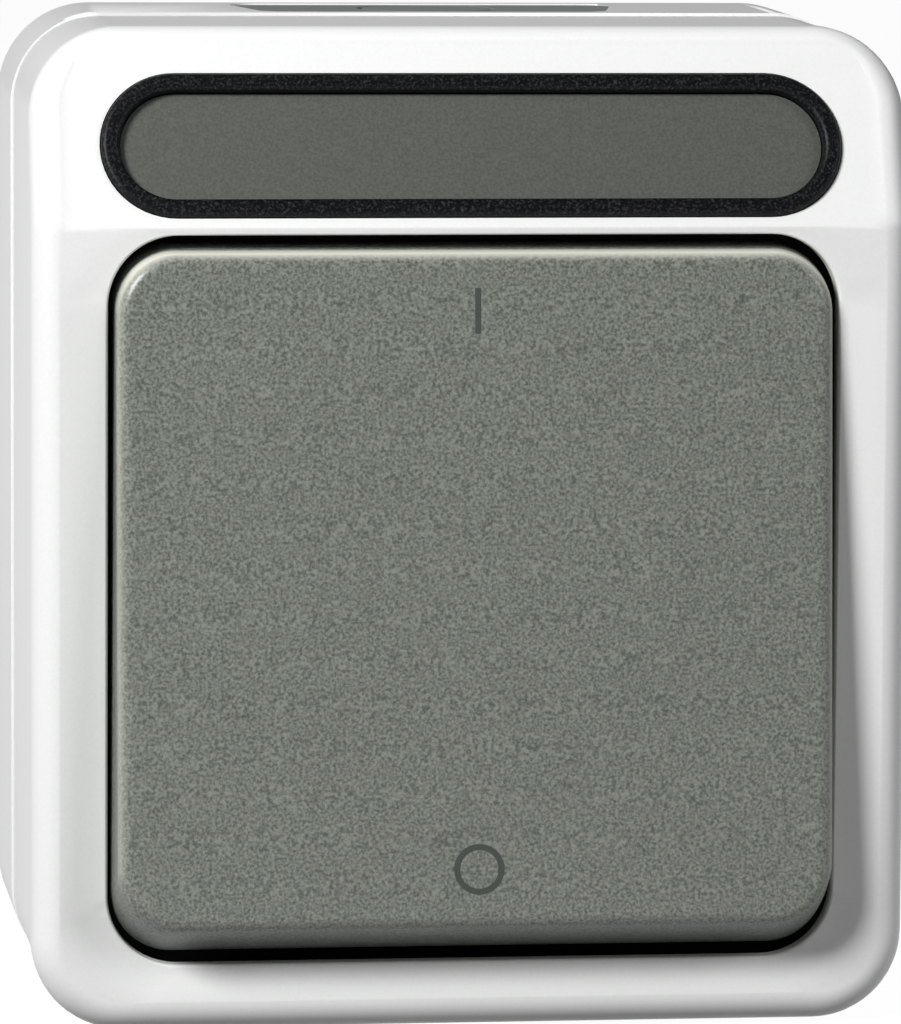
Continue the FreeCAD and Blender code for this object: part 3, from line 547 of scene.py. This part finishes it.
smooth_shell("rear_base", "rear_base_shell", "housing", white_abs)
smooth_shell("upper_housing", "upper_housing_shell", "housing", white_abs)
smooth_shell(
    "front_cover",
    "front_cover_shell",
    "housing",
    white_abs,
    crease=cover_crease,
    reshape=soften_cover,
)
smooth_shell("label_bezel", "label_bezel_ring", "housing", black_abs)
smooth_shell("label_plate", "label_plate_insert", "housing", label_abs)
smooth_shell("cable_grommet", "cable_grommet_entry", "housing", grey_elastomer)
smooth_shell("rocker_cap", "rocker_cap_shell", "rocker", grey_abs)

dress(["base_gasket", "rocker_seal"], black_rubber)
dress(["switch_socket", "mechanism_cover"], urea)
dress(["actuator_cradle", "plunger_left", "plunger_right"], acetal)
dress(
    [
        "support_plate",
        "support_screws",
        "cover_screws",
        "terminal_screws",
        "earth_screw",
        "spring_left",
        "spring_right",
    ],
    zinc_steel,
)
dress(
    [
        "earth_terminal",
        "contact_rocker_left",
        "contact_rocker_right",
        "line_terminal_left",
        "line_terminal_right",
        "load_terminal_left",
        "load_terminal_right",
    ],
    brass,
)


# Thin pieces: drawn flat in X and Y, thickened towards +Z and then stood up to face the front
upright = Matrix.Rotation(math.radians(90), 4, "X")


def flat_rectangle(half_width, half_height):
    """A flat rectangle round the origin, as a mesh in progress."""
    flat = bmesh.new()
    bmesh.ops.create_grid(flat, x_segments=1, y_segments=1, size=1.0)
    bmesh.ops.scale(flat, verts=flat.verts, vec=(half_width, half_height, 1))
    return flat


def thin_piece(name, flat, thickness, place, body, material):
    """A thin piece from its flat outline, thickened and put in its place."""
    rise = Vector((0, 0, thickness))
    rim = [edge.verts[:] for edge in flat.edges if edge.is_boundary]
    raised = {vert: flat.verts.new(vert.co + rise) for vert in flat.verts[:]}
    for face in flat.faces[:]:
        flat.faces.new([raised[vert] for vert in face.verts])
    for start, end in rim:
        flat.faces.new((start, end, raised[end], raised[start]))
    bmesh.ops.recalc_face_normals(flat, faces=flat.faces)
    flat.transform(place)
    finish_piece(linked_mesh(name, flat), body, material)


# Printed marks: a bar at the top of the rocker and a ring at the bottom
mark_offset = 23.3 * MM
mark_film = 0.02 * MM
bar_width = 0.5 * MM
bar_height = 3.8 * MM
ring_outer = 2.12 * MM
ring_stroke = 0.5 * MM
ring_points = 64


def printed_mark(name, flat, height):
    """A film of ink on the rocker's face at a height above its middle."""
    level = Matrix.Translation((0, -face_rise, height))
    tilt = Matrix.Rotation(rest_tilt, 4, "X")
    place = Matrix.Translation(pivot) @ tilt @ level @ upright
    thin_piece(name, flat, mark_film, place, "rocker", mark_ink)


printed_mark("on_mark_bar", flat_rectangle(bar_width / 2, bar_height / 2), mark_offset)

ring = bmesh.new()
for radius in (ring_outer, ring_outer - ring_stroke):
    bmesh.ops.create_circle(ring, segments=ring_points, radius=radius)
bmesh.ops.bridge_loops(ring, edges=ring.edges[:])
printed_mark("off_mark_ring", ring, -mark_offset)

# Painted shade: a black strip on the shelf of the well, put in to darken the gap round the rocker
shelf_depth = 39.2 * MM
strip_half_width = 31.9 * MM
strip_low, strip_high = -37.9 * MM, 25.6 * MM
strip_width = 3.0 * MM
strip_thickness = 0.25 * MM
strip_corner = 4.0 * MM
corner_steps = 8
round_profile = 0.5

strip = flat_rectangle(strip_half_width, (strip_high - strip_low) / 2)
bmesh.ops.bevel(
    strip,
    geom=strip.verts[:],
    offset=strip_corner,
    segments=corner_steps,
    profile=round_profile,
    affect="VERTICES",
    material=-1,
)
strip_inside = strip.faces[:]
bmesh.ops.inset_region(
    strip, faces=strip_inside, thickness=strip_width, use_boundary=True, use_even_offset=True
)
bmesh.ops.delete(strip, geom=strip_inside, context="FACES")
on_shelf = Matrix.Translation((0, -shelf_depth, (strip_low + strip_high) / 2)) @ upright
thin_piece(
    "well_shade_strip", strip, strip_thickness, on_shelf, "housing", black_rubber
)


# Studio

def soft_lamp(name, place, size, power, width=None):
    """A lamp that faces the object: a disc, or a strip where a width is given."""
    data = bpy.data.lights.new(name, "AREA")
    data.shape = "RECTANGLE" if width else "DISK"
    data.size = size
    if width:
        data.size_y = width
    data.energy = power
    lamp = linked(name, data)
    lamp.location = place
    lamp.rotation_euler = (middle - lamp.location).to_track_quat("-Z", "Y").to_euler()


def white_for_lens(material, diffuse, strength):
    """Adds light to a surface only where the lens, a reflection or a clear piece sees it."""
    rays = add_node(material, "ShaderNodeLightPath").outputs
    seen = rays["Is Camera Ray"]
    for other in ("Is Glossy Ray", "Is Transmission Ray"):
        seen = add_node(
            material, "ShaderNodeMath", {0: seen, 1: rays[other]}, operation="MAXIMUM"
        ).outputs["Value"]
    glow_strength = add_node(
        material, "ShaderNodeMath", {0: seen, 1: strength}, operation="MULTIPLY"
    ).outputs["Value"]
    glow = add_node(
        material, "ShaderNodeEmission", {"Color": pure_white, "Strength": glow_strength}
    ).outputs["Emission"]
    return add_node(material, "ShaderNodeAddShader", {0: diffuse, 1: glow}).outputs["Shader"]


# Matt grey paper, lifted to white where the lens sees it, so that only the shadow stays
paper_grey = "#646464"
paper_glow = 0.96
paper_half = 3.0

paper = emptied(bpy.data.materials.new("studio_paper"))
paper_matt = add_node(
    paper, "ShaderNodeBsdfDiffuse", {"Color": linear(paper_grey)}
).outputs["BSDF"]
paper_seen = white_for_lens(paper, paper_matt, paper_glow)
add_node(paper, "ShaderNodeOutputMaterial", {"Surface": paper_seen})

floor_work = flat_rectangle(paper_half, paper_half)
bmesh.ops.translate(floor_work, verts=floor_work.verts, vec=(0, 0, cad_low.z))
floor = linked_mesh("floor", floor_work)
floor.data.materials.append(paper)

# Lamps: a near key from the upper left, a long strip overhead that lights the rounded edges
# which look up, and a wide soft fill from the right
soft_lamp("key_softbox", place=(-0.405, -0.423, 0.351), size=0.22, power=4.9)
soft_lamp("top_striplight", place=(0.0, -0.3, 0.85), size=1.2, power=0.5, width=0.1)
soft_lamp("fill_softbox", place=(0.9, -0.7, 0.5), size=0.6, power=3.8)

# Surroundings: white behind the object, and only a faint light on the object itself
sky_light = 0.04
sky_seen = 1.0

world = emptied(bpy.data.worlds.new("studio_world"))
scene.world = world
sky_rays = add_node(world, "ShaderNodeLightPath").outputs
sky_in_view = add_node(
    world,
    "ShaderNodeMath",
    {0: sky_rays["Is Camera Ray"], 1: sky_rays["Is Transmission Ray"]},
    operation="MAXIMUM",
).outputs["Value"]
sky_strength = add_node(
    world, "ShaderNodeMapRange", {"Value": sky_in_view, "To Min": sky_light, "To Max": sky_seen}
).outputs["Result"]
sky = add_node(
    world, "ShaderNodeBackground", {"Color": pure_white, "Strength": sky_strength}
).outputs["Background"]
add_node(world, "ShaderNodeOutputWorld", {"Surface": sky})

scene.view_settings.view_transform = "Standard"

# Camera: left of the front and above, near enough for the sides to open as in the picture
image_height = 1024
camera_azimuth = math.radians(-6.86)
camera_elevation = math.radians(6.65)
camera_roll = math.radians(0.35)
camera_distance = 0.5989
camera_focal_pixels = 6862.6
camera_target = Vector((0.94, -21.0, -1.13)) * MM
sensor_width = 36.0
nearest_seen = 10 * MM

camera_data = bpy.data.cameras.new("camera")
camera_data.sensor_width = sensor_width
camera_data.lens = camera_focal_pixels * sensor_width / image_height
camera_data.clip_start = nearest_seen
camera = linked("camera", camera_data)
forward = Vector(
    (
        -math.sin(camera_azimuth) * math.cos(camera_elevation),
        math.cos(camera_azimuth) * math.cos(camera_elevation),
        -math.sin(camera_elevation),
    )
)
camera.location = camera_target - forward * camera_distance
level_view = forward.to_track_quat("-Z", "Y").to_matrix().to_4x4()
camera.rotation_euler = (level_view @ Matrix.Rotation(camera_roll, 4, "Z")).to_euler()
scene.camera = camera
